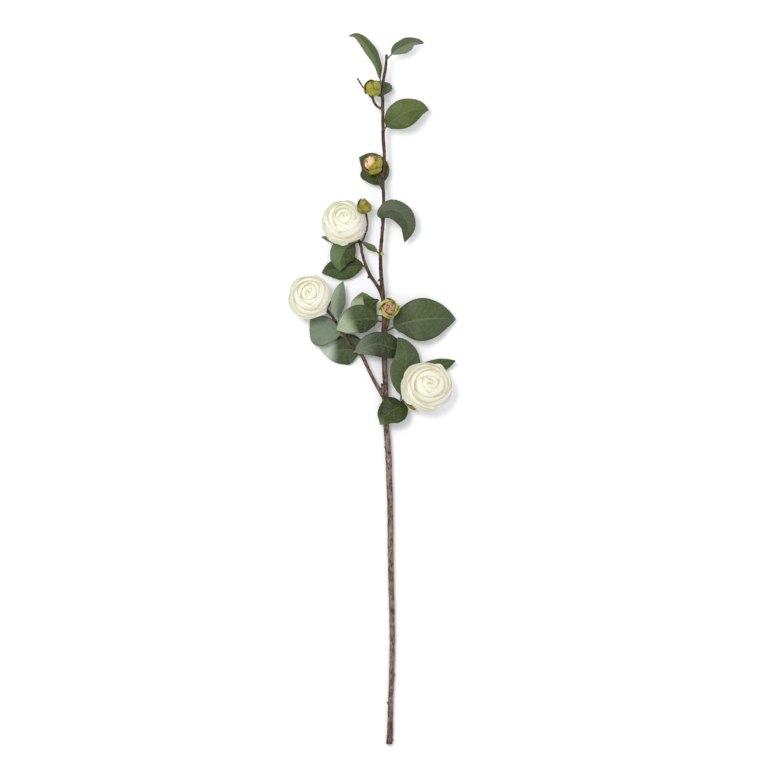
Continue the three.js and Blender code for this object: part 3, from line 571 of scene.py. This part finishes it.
def leaf_finish(spec, pairs):
    """Green of two halves and a tip, which also hold painted sheen and painted shade, with pale veins, a
    lighter underside and a soft sheen.
    """
    material, tree, shader = new_finish(spec["name"])
    coordinates = node(tree, "ShaderNodeTexCoord").outputs
    uv = coordinates["UV"]
    apart = node(tree, "ShaderNodeSeparateXYZ", i0=uv).outputs
    lines = tree.nodes.new("ShaderNodeGroup")
    lines.node_tree = veins
    tree.links.new(uv, lines.inputs["Vector"])
    lines.inputs["Pairs"].default_value = pairs

    def shown(key):
        return tuple(depth * channel for depth, channel in zip(LEAF_DEPTH, linear(*spec[key])))

    # The halves, the foot and the tip hold painted sheen where they are pale and painted shade where they are
    # dark.
    halves = blend_colours(tree, band(tree, apart[0], 0.44, 0.56), shown("left"), shown("right"))
    if "foot" in spec:
        halves = blend_colours(tree, band(tree, apart[1], 0.15, 0.45), shown("foot"), halves)
    tip_from = spec.get("tip_from", 0.7)
    green = blend_colours(tree, band(tree, apart[1], tip_from, tip_from + 0.25), halves, shown("tip"))
    cloud = blotches(tree, coordinates["Object"], CLOUDS, 0.35, 0.65)
    speck = blotches(tree, coordinates["Object"], SPECKS, 0.4, 0.7)
    green = blend_colours(tree, maths(tree, "MULTIPLY", cloud[0], CLOUDS_SHOW), green, CLOUD_TINT, "MULTIPLY")
    pale = blend_colours(tree, 0.3, halves, VEIN_PALE)
    under = node(tree, "ShaderNodeAttribute", {"attribute_name": "under"}).outputs["Fac"]
    for mask, shows, colour in (
            (speck[0], SPECKS_SHOW, SPECK_GREEN),
            (lines.outputs["Veins"], VEINS_SHOW, pale),
            (lines.outputs["Rib"], RIB_SHOWS, RIB_PALE),
            (lines.outputs["Margin"], MARGIN_SHOWS, MARGIN_BROWN),
            (under, UNDER_SHOWS, UNDERSIDE)):
        green = blend_colours(tree, maths(tree, "MULTIPLY", mask, shows), green, colour)
    tree.links.new(green, shader.inputs["Base Color"])
    tree.links.new(band(tree, speck[1], 0.3, 0.7, 0.34, 0.5), shader.inputs["Roughness"])
    cells = node(tree, "ShaderNodeTexVoronoi", {"feature": "DISTANCE_TO_EDGE"}, Vector=coordinates["Object"],
                 Scale=CELLS)
    pebbles = band(tree, cells.outputs["Distance"], 0, 0.25, 0, 0.4)
    height = maths(tree, "SUBTRACT", pebbles, lines.outputs["Veins"])
    bump = node(tree, "ShaderNodeBump", Strength=0.35, Distance=0.0003, Height=height)
    tree.links.new(bump.outputs[0], shader.inputs["Normal"])
    shader.inputs["Specular IOR Level"].default_value = 0.2
    return material


FIRST_LEAF_SEED = 100
for number, spec in enumerate(LEAVES):
    blade, pairs = leaf(spec, FIRST_LEAF_SEED + number)
    keep_as(blade, leaf_finish(spec, pairs), "leaf", spec["name"])


# ---- The blooms ----
# Full double blooms of ivory petals. The outer ones cup upwards and stand apart from the inner dome, where
# petals lie over each other and wind round the middle. Each petal is pale yellow at its foot and the inner
# rings are yellower, partly their own cream and partly painted shade of the deep crevices and heart. A
# painted glow lifts the shade deep in the bloom.
PETAL_HALF = 0.27  # half a petal's thickness, in mm
PETAL_TILT = 0.05
PETAL_COLUMNS = 20
PETAL_ROWS = 24
PETAL_STEP = 0.9  # how far each ring is turned on from the last
PETAL_GAPE = 0.09  # how far the rim of each bloom's one loose petal stands off, in shares of its radius
LOOSE_RING = 2
STRAIGHT_RINGS = 2  # the outer rings stand straight, and the others lean
UNEVEN = 0.035  # how much the petals of a ring differ in length
WOBBLE = (12.9898, 7.1, 31)  # turns of the number, the ring and the bloom that make them differ
RIM_CUT, RIM_POWER = 0.14, 2.6  # how far a petal's rim falls away to its sides, and how late
POINT_CUT, POINT_POWER = 0.2, 1.9  # the same for a pointed scale
CURL_FROM, CURL_FULL = 0.72, 0.078
FOOT_WIDTH, WIDENS_BY, WIDE_FROM = 0.55, 0.45, 0.65
ROUNDING = 0.38
ROW_CROWDING = 1.4  # rows lie closer together towards the rim
SMALL = 0.01
OWN_TONE = 0.25  # share of a petal's tone that is its own and not its ring's
# Base and radius are in mm, axis is the way that a bloom looks, and open is the number of its loose petal.
BLOOMS = [
    dict(name="bloom_a", base=(-56, 645, 6.9), axis=(-0.05, 0.5, 0.86), radius=26, turn=0.3, tall=1.1,
         lean=(0.04, 0.1), bract=-0.7, open=0),
    dict(name="bloom_b", base=(-97.3, 555.5, 7.6), axis=(-0.15, 0.33, 0.93), radius=25.9, turn=1.13,
         tall=1.06, lean=(0.06, 0.04), bract=-0.13, open=1),
    dict(name="bloom_c", base=(45, 445.4, 8.95), axis=(0.12, 0.18, 0.975), radius=31, turn=2, tall=0.95,
         lean=(0.075, 0.01), bract=3.84, open=0),
]
# Rings of petals, outermost first. Root, belly and tip are radius and height in shares of the bloom's radius.
RINGS = [
    dict(count=5, root=(0.2, 0.06), belly=(0.9, -0.06), tip=(1, 0.5), spread=1.5, curl=0.06, wave=0.026,
         round=0.6),
    dict(count=5, root=(0.18, 0.12), belly=(1.14, 0.23), tip=(0.94, 0.76), spread=1.5, curl=0.05, wave=0.02,
         round=0.5),
    dict(count=4, root=(0.17, 0.18), belly=(1.18, 0.52), tip=(0.78, 0.97), spread=1.55, curl=0.03, wave=0.012,
         tilt=0.7, cut=0.16, uneven=0.05),
    dict(count=3, root=(0.15, 0.27), belly=(1.08, 0.84), tip=(0.56, 1.09), spread=1.5, curl=0.02, wave=0.008,
         tilt=0.9, cut=0.16, uneven=0.06),
    dict(count=3, root=(0.12, 0.38), belly=(0.86, 1), tip=(0.34, 1.125), spread=1.5, curl=0.01, wave=0.006,
         tilt=0.9, cut=0.16, uneven=0.06),
    dict(count=2, root=(0.08, 0.52), belly=(0.6, 1.06), tip=(0.15, 1.13), spread=1.5, curl=0.01, wave=0.004,
         tilt=0.9, cut=0.16, uneven=0.06),
    dict(count=2, root=(0.02, 0.64), belly=(0.34, 1.1), tip=(0.01, 1.12), spread=1.5, curl=0, wave=0.002),
]


def petal(name, ring, index, form):
    """The closed skin of one petal, sepal or scale of a ring."""
    radius, unit = form["radius"], form["unit"]
    step = 2 * math.pi / ring["count"]
    middle = form["turn"] + step * index
    wobble = math.sin(WOBBLE[0] * (index + 1) + WOBBLE[1] * ring["count"] + form["turn"] * WOBBLE[2])
    reach = 1 + ring.get("uneven", UNEVEN) * min(wobble, 0.4)
    chance = random.Random(f"{name}{index}")
    waves = [(chance.uniform(0.8, 1.8), chance.uniform(0, 6.3), chance.uniform(0.5, 1)) for _ in range(2)]
    lean = form.get("lean", (0, 0))
    profile = [Vector(ring[key]) for key in ("root", "belly", "tip")]

    def at(u, v):
        """A place half way through it: u runs across it from -1 to 1, v from its foot to its rim."""
        if form.get("pointed"):
            cut = POINT_CUT * abs(u) ** POINT_POWER
        else:
            cut = ring.get("cut", RIM_CUT) * abs(u) ** RIM_POWER
        t = v * (1 - cut * v) * reach
        here = profile[0] * (1 - t) ** 2 + profile[1] * 2 * t * (1 - t) + profile[2] * t * t
        slope = (profile[1] - profile[0]) * (1 - t) + (profile[2] - profile[1]) * t
        slope.normalize()
        wave = sum(size * math.sin(count * math.pi * u + start) for count, start, size in waves)
        shift = form["tilt"] * ring.get("tilt", 1) * u * min(1, 0.3 + 2 * t)
        shift += ring.get("wave", 0) * wave * v ** 3
        shift += ring.get("curl", 0) * max(v - CURL_FROM, 0) ** 2 / CURL_FULL
        gape = PETAL_GAPE * smooth(-0.5, 0.3, u) * smooth(0.5, 1, v) if index == form.get("loose") else 0
        r = radius * (here.x + shift * slope.y + gape)
        z = unit * (here.y - shift * slope.x)
        opened = FOOT_WIDTH + WIDENS_BY * smooth(0, WIDE_FROM, v)
        rounded = math.sqrt(1 - ring.get("round", ROUNDING) * max(0, 2 * v - 1) ** 2)
        angle = middle + u * step * 0.5 * ring["spread"] * opened * rounded
        push = radius * min(v * 2, 1)
        return Vector((r * math.cos(angle) + lean[0] * push, r * math.sin(angle) + lean[1] * push, z))

    def lay(u, v):
        top = u <= 0.5
        a = math.sin(math.pi / 2 * (4 * u - 1 if top else 3 - 4 * u))
        v = 1 - (1 - v) ** ROW_CROWDING
        du = at(a + SMALL, v) - at(a - SMALL, v)
        dv = at(a, v + SMALL) - at(a, v - SMALL)
        rim = max(1 - abs(a) ** 8, 0) ** 0.5 * max(1 - v ** 12, 0) ** 0.5 * min(1, 12 * v)
        thick = form["thick"] * rim * (1 if top else -1)
        return at(a, v) + du.cross(dv).normalized() * thick

    piece = skin(name, PETAL_COLUMNS, PETAL_ROWS, lay)
    tone = piece.data.attributes.new("tone", "FLOAT", "POINT")
    shade = chance.random()
    if "heart" in form:
        shade = OWN_TONE * shade + (1 - OWN_TONE) * form["heart"]
    tone.data.foreach_set("value", np.full(len(piece.data.vertices), shade, np.float32))
    return piece


PRESS_EDGE = 0.5  # how softly a piece turns flat where it meets the table, in mm


def plant(piece, spec, tall=1):
    """Turns a piece that stands on the origin along z onto its foot and axis, and presses it to the table."""
    way = Vector((0, 0, 1)).rotation_difference(Vector(spec["axis"]).normalized()).to_matrix()
    size = Matrix.Diagonal((1, tall, 1))
    for vertex in piece.data.vertices:
        place = way @ (size @ vertex.co) + Vector(spec["base"])
        place.z = (place.z + math.hypot(place.z, PRESS_EDGE)) / 2
        vertex.co = spot(place)
    return piece


def rings_of(name, rings, form):
    """The petals, sepals or scales of some rings, each ring turned on from the last."""
    pieces = []
    for number, ring in enumerate(rings):
        placed = dict(form, turn=form["turn"] + number * form["step"])
        if "open" in form:
            # The ring's place, from the outside to the heart, sets how much painted heart shade its petals
            # get.
            placed["heart"] = number / (len(rings) - 1)
            placed["loose"] = form["open"] if number == LOOSE_RING else None
            if number < STRAIGHT_RINGS:
                placed["lean"] = (0, 0)
        pieces += [petal(f"{name}_{number}_{k}", ring, k, placed) for k in range(ring["count"])]
    return pieces


PETAL_WHITE = (0.69, 0.69, 0.635)
PETAL_CREAM = (0.705, 0.7, 0.61)
PETAL_FOOT = (0.71, 0.685, 0.5)
PETAL_HEART = (0.69, 0.655, 0.445)
PETAL_STREAK = (0.72, 0.69, 0.55)
HEART_SHOWS, CLOUD_SHOWS, STREAK_SHOWS = 0.65, 0.2, 0.08
PETAL_CLOUDS = 90  # in a metre
PETAL_FIBRES = (26.0, 2.0, 1.0)
PAINTED_GLOW_DEEP, PAINTED_GLOW_RIM = 0.27, 0.09
ivory, tree, shader = new_finish("ivory petal")
coordinates = node(tree, "ShaderNodeTexCoord").outputs
apart = node(tree, "ShaderNodeSeparateXYZ", i0=coordinates["UV"]).outputs
tone = node(tree, "ShaderNodeAttribute", {"attribute_name": "tone"}).outputs["Fac"]
fibres = node(tree, "ShaderNodeMapping", Vector=coordinates["UV"], Scale=PETAL_FIBRES).outputs[0]
streaks = blotches(tree, fibres, 2.2, 0.35, 0.7)
cloud = blotches(tree, coordinates["Object"], PETAL_CLOUDS, 0.4, 0.65)
# Painted shade: the pale yellow foot is partly the petals' own colour and partly the shade of the crevices
# where the feet lie deep.
colour = blend_colours(tree, band(tree, apart[1], 0.1, 0.4), PETAL_FOOT, PETAL_CREAM)
colour = blend_colours(tree, band(tree, apart[1], 0.35, 0.7), colour, PETAL_WHITE)
# Painted shade: by their tone the inner rings turn creamier yellow, the yellowish shade deep in the heart,
# over the petals' own cream.
colour = blend_colours(tree, maths(tree, "MULTIPLY", tone, HEART_SHOWS), colour, PETAL_HEART)
colour = blend_colours(tree, maths(tree, "MULTIPLY", cloud[0], CLOUD_SHOWS), colour, PETAL_CREAM)
colour = blend_colours(tree, maths(tree, "MULTIPLY", streaks[0], STREAK_SHOWS), colour, PETAL_STREAK)
tree.links.new(colour, shader.inputs["Base Color"])
tree.links.new(band(tree, streaks[1], 0.3, 0.7, 0.5, 0.62), shader.inputs["Roughness"])
bump = node(tree, "ShaderNodeBump", Strength=0.3, Distance=0.0004, Height=streaks[1])
tree.links.new(bump.outputs[0], shader.inputs["Normal"])
shader.inputs["Subsurface Weight"].default_value = 0.3
shader.inputs["Subsurface Radius"].default_value = (1.0, 0.95, 0.8)
shader.inputs["Subsurface Scale"].default_value = 0.002
shader.inputs["Sheen Weight"].default_value = 0.1
# Painted light: an emission glow, strongest deep in the bloom, lifts the shade of the crevices. It stands in
# for the light that comes through from the petals behind.
painted_glow = blend_colours(tree, band(tree, apart[1], 0.55, 0.97, PAINTED_GLOW_DEEP, PAINTED_GLOW_RIM), (0, 0, 0), colour)
tree.links.new(painted_glow, shader.inputs["Emission Color"])
shader.inputs["Emission Strength"].default_value = 1

for spec in BLOOMS:
    form = dict(radius=spec["radius"], unit=spec["radius"], thick=PETAL_HALF, tilt=PETAL_TILT,
                turn=spec["turn"], step=PETAL_STEP, lean=spec["lean"], open=spec["open"])
    bloom = join(f"{spec['name']}_petals", rings_of(spec["name"], RINGS, form))
    plant(bloom, spec, spec["tall"])
    keep_as(bloom, ivory, "petal", f"{spec['name']}_petals")


# ---- The calyces and the buds ----
# Round green scales lie over each other under each bloom and round each bud, brown at their edges.
# Two of the buds are opening, and petals show in their mouths: one pinkish white, one brownish pink.
SEPAL_HALF = 0.4
CALYX_TILT, SCALE_TILT, TIP_TILT = 0.04, 0.09, 0.04
SCALE_STEP, TIP_STEP, TIP_TURN = 1.05, 1, 0.5
CUP = [(0, -0.3), (0.13, -0.3), (0.2, -0.18), (0.28, -0.05), (0.22, -0.015), (0, -0.015)]
CALYX_RING = dict(count=5, root=(0.1, -0.25), belly=(0.32, -0.2), tip=(0.56, 0.02), spread=1.02)
BRACT = dict(count=5, root=(0.12, -0.2), belly=(0.98, -0.2), tip=(1.06, 0.3), spread=0.8)
BUDS = [
    dict(name="bud_1", base=(-20.5, 813.5, 25), axis=(0, 0.7, 0.7), radius=10.2, length=21, turn=0.4,
         green=(134, 134, 40), edge=(132, 88, 42)),
    dict(name="bud_2", base=(-14.6, 721, 19.5), axis=(-0.6, 0.4, 0.7), radius=12, length=20, turn=0.2,
         open=True, green=(138, 126, 34), edge=(150, 110, 44)),
    dict(name="bud_3", base=(-29, 664.6, 21), axis=(-0.25, 0.9, 0.35), radius=8.4, length=19.5, turn=1.2,
         green=(114, 104, 28), edge=(66, 46, 24)),
    dict(name="bud_4", base=(-8.8, 612.5, 22.2), axis=(0.15, 0.5, 0.85), radius=3.2, length=6.5, turn=0,
         small=True, green=(180, 186, 92), edge=(156, 146, 66)),
    dict(name="bud_5", base=(0, 545.5, 22.3), axis=(0.02, 0.05, 1), radius=11.8, length=17, turn=0.9,
         open=True, green=(204, 208, 112), edge=(146, 126, 60)),
]
# Outlines of round cores and rings of scales, in shares of the bud's radius and length.
BUD_CORE = [(0, 0), (0.42, 0.04), (0.68, 0.26), (0.74, 0.5), (0.56, 0.78), (0, 0.95)]
OPEN_CORE = [(0, 0), (0.42, 0.04), (0.66, 0.26), (0.62, 0.43), (0.5, 0.5), (0, 0.5)]
BUD_SCALES = [
    dict(count=3, root=(0.3, 0.06), belly=(1.34, 0.16), tip=(0.86, 0.72), spread=1.25),
    dict(count=3, root=(0.5, 0.34), belly=(1.36, 0.56), tip=(0.08, 1.02), spread=1.3),
]
OPEN_SCALES = [
    dict(count=4, root=(0.3, 0.06), belly=(1.34, 0.12), tip=(0.86, 0.74), spread=1.25),
    dict(count=3, root=(0.45, 0.3), belly=(1.12, 0.4), tip=(0.66, 0.94), spread=1.2),
]
TIP_CORE = [(0, 0.53), (0.34, 0.53), (0.46, 0.7), (0.36, 0.86), (0, 0.98)]
TIP_PETALS = [
    dict(count=4, root=(0.2, 0.58), belly=(1.08, 0.7), tip=(0.24, 1.06), spread=1.25, wave=0.03, tilt=1.6),
    dict(count=3, root=(0.16, 0.62), belly=(0.74, 0.84), tip=(0.06, 1.1), spread=1.2, wave=0.03, tilt=1.6),
]
CORE_ROWS = 20
CORE_COLUMNS = 16


def turned(name, outline, radius, unit):
    """A closed round body from its outline of radius and height."""
    run = np.concatenate([[0], np.cumsum([math.dist(a, b) for a, b in zip(outline, outline[1:])])])

    def lay(u, v):
        r = float(np.interp(v * run[-1], run, [p[0] for p in outline]))
        z = float(np.interp(v * run[-1], run, [p[1] for p in outline]))
        around = 2 * math.pi * u
        return Vector((r * radius * math.cos(around), r * radius * math.sin(around), z * unit))

    return skin(name, CORE_COLUMNS, CORE_ROWS, lay)


SEPAL_FOOT = linear(96, 104, 34)
SEPAL_PALE = linear(190, 188, 92)
SEPAL_STREAK = linear(112, 96, 36)
SEPAL_CLOUDS, SEPAL_SPECKS = 260, 900  # in a metre
SEPAL_FIBRES = (22.0, 1.2, 1.0)


def sepal_finish(name, green, edge):
    """A smooth scale, brown at its edges, streaked and blotched."""
    material, tree, shader = new_finish(name)
    coordinates = node(tree, "ShaderNodeTexCoord").outputs
    apart = node(tree, "ShaderNodeSeparateXYZ", i0=coordinates["UV"]).outputs
    side = maths(tree, "ABSOLUTE", maths(tree, "SUBTRACT", apart[0], 0.5))
    rim = maths(tree, "MAXIMUM", band(tree, side, 0.4, 0.5), band(tree, apart[1], 0.86, 0.98))
    cloud = blotches(tree, coordinates["Object"], SEPAL_CLOUDS, 0.35, 0.65)
    speck = blotches(tree, coordinates["Object"], SEPAL_SPECKS, 0.5, 0.7)
    fibres = node(tree, "ShaderNodeMapping", Vector=coordinates["UV"], Scale=SEPAL_FIBRES).outputs[0]
    streaks = blotches(tree, fibres, 1.6, 0.45, 0.7)
    colour = blend_colours(tree, band(tree, apart[1], 0, 0.6), SEPAL_FOOT, linear(*green))
    for mask, shows, over in ((cloud[0], 0.45, SEPAL_PALE), (streaks[0], 0.6, SEPAL_STREAK),
                              (speck[0], 0.25, linear(*edge)), (rim, 0.75, linear(*edge))):
        colour = blend_colours(tree, maths(tree, "MULTIPLY", mask, shows), colour, over)
    tree.links.new(colour, shader.inputs["Base Color"])
    tree.links.new(band(tree, cloud[1], 0.3, 0.7, 0.4, 0.6), shader.inputs["Roughness"])
    bump = node(tree, "ShaderNodeBump", Strength=0.3, Distance=0.0003, Height=speck[1])
    tree.links.new(bump.outputs[0], shader.inputs["Normal"])
    shader.inputs["Specular IOR Level"].default_value = 0.25
    return material


TIP_CLOUDS = 300  # in a metre
TIP_FIBRES = (18.0, 1.5, 1.0)


def bud_petal_finish(name, inner, outer):
    """Furled petals in two shades, one deep inside and one at the rim, clouded and streaked."""
    material, tree, shader = new_finish(name)
    coordinates = node(tree, "ShaderNodeTexCoord").outputs
    apart = node(tree, "ShaderNodeSeparateXYZ", i0=coordinates["UV"]).outputs
    cloud = blotches(tree, coordinates["Object"], TIP_CLOUDS, 0.4, 0.6)
    fibres = node(tree, "ShaderNodeMapping", Vector=coordinates["UV"], Scale=TIP_FIBRES).outputs[0]
    streaks = blotches(tree, fibres, 1.8, 0.4, 0.62)
    colour = blend_colours(tree, band(tree, apart[1], 0.35, 0.9), linear(*inner), linear(*outer))
    for mask, shows in ((cloud[0], 0.35), (streaks[0], 0.6)):
        colour = blend_colours(tree, maths(tree, "MULTIPLY", mask, shows), colour, linear(*inner))
    tree.links.new(colour, shader.inputs["Base Color"])
    tree.links.new(band(tree, cloud[1], 0.3, 0.7, 0.5, 0.65), shader.inputs["Roughness"])
    return material


calyx_green = sepal_finish("calyx green", (120, 122, 58), (112, 88, 48))
for spec in BLOOMS:
    form = dict(radius=spec["radius"], unit=spec["radius"], thick=SEPAL_HALF, tilt=CALYX_TILT,
                turn=spec["turn"], step=0, pointed=True)
    name = f"{spec['name']}_calyx"
    parts = [turned(f"{name}_cup", CUP, spec["radius"], spec["radius"]), *rings_of(name, [CALYX_RING], form)]
    parts.append(petal(f"{name}_bract", BRACT, 0, dict(form, turn=spec["bract"])))
    calyx = plant(join(name, parts), spec)
    keep_as(calyx, calyx_green, "sepal", name)

for spec in BUDS:
    rings = [] if spec.get("small") else OPEN_SCALES if spec.get("open") else BUD_SCALES
    form = dict(radius=spec["radius"], unit=spec["length"], thick=SEPAL_HALF, tilt=SCALE_TILT,
                turn=spec["turn"], step=SCALE_STEP, pointed=True)
    core = OPEN_CORE if spec.get("open") else BUD_CORE
    parts = [turned(f"{spec['name']}_core", core, spec["radius"], spec["length"])]
    bud = plant(join(spec["name"], parts + rings_of(spec["name"], rings, form)), spec)
    keep_as(bud, sepal_finish(spec["name"], spec["green"], spec["edge"]), "sepal", spec["name"])

mouths = {
    "bud_2": ("petal", bud_petal_finish("opening petal", (206, 160, 84), (238, 220, 190))),
    "bud_5": ("bud_petal", bud_petal_finish("brown petal", (118, 76, 42), (214, 176, 134))),
}
for spec in BUDS:
    if spec["name"] not in mouths:
        continue
    slot, finish = mouths[spec["name"]]
    name = f"{spec['name']}_tip"
    form = dict(radius=spec["radius"], unit=spec["length"], thick=PETAL_HALF, tilt=TIP_TILT,
                turn=spec["turn"] + TIP_TURN, step=TIP_STEP)
    parts = [turned(f"{name}_core", TIP_CORE, spec["radius"], spec["length"])]
    parts += rings_of(name, TIP_PETALS, form)
    keep_as(plant(join(name, parts), spec), finish, slot, name)


# ---- The table, the light and the camera ----
# A plain white table under a large soft light from the upper left, seen from straight above.
TABLE_SIZE = 8
TABLE_HEIGHT = -0.0002  # a hair under the spray
TABLE_WHITE = (0.96, 0.96, 0.97, 1)
SKY_WHITE = (0.975, 0.98, 1, 1)
SKY_STRENGTH = 0.86
bpy.ops.mesh.primitive_plane_add(size=TABLE_SIZE)
table = bpy.context.object
table.name = "table"
table.location.z = TABLE_HEIGHT
white, tree, shader = new_finish("white table")
shader.inputs["Base Color"].default_value = TABLE_WHITE
shader.inputs["Roughness"].default_value = 0.9
table.data.materials.append(white)

world = bpy.data.worlds.new("studio")
world.use_nodes = True
sky = world.node_tree.nodes["Background"]
sky.inputs[0].default_value = SKY_WHITE
sky.inputs[1].default_value = SKY_STRENGTH
bpy.context.scene.world = world


def softbox(name, place, size, power):
    """A square light that looks at the origin."""
    light = bpy.data.lights.new(name, "AREA")
    light.shape = "SQUARE"
    light.size = size
    light.energy = power
    holder = bpy.data.objects.new(name, light)
    holder.location = place
    holder.rotation_euler = (-Vector(place)).to_track_quat("-Z", "Y").to_euler()
    bpy.context.collection.objects.link(holder)


KEY_PLACE, KEY_SIZE, KEY_POWER = (-0.75, 0.8, 2.6), 0.9, 34
softbox("key", KEY_PLACE, KEY_SIZE, KEY_POWER)

LENS = 200
SENSOR = 36
VIEW_WIDTH = 0.96  # how much of the table it takes in, in metres
VIEW_MIDDLE = (0.01575, 0.00725)
MIDDLE_HEIGHT = 0.015  # where it takes in that width
view = bpy.data.cameras.new("camera")
view.lens = LENS
view.sensor_width = SENSOR
camera = bpy.data.objects.new("camera", view)
camera.location = (*VIEW_MIDDLE, VIEW_WIDTH / 2 * LENS / (SENSOR / 2) + MIDDLE_HEIGHT)
bpy.context.collection.objects.link(camera)
bpy.context.scene.camera = camera
bpy.context.scene.view_settings.view_transform = "Standard"
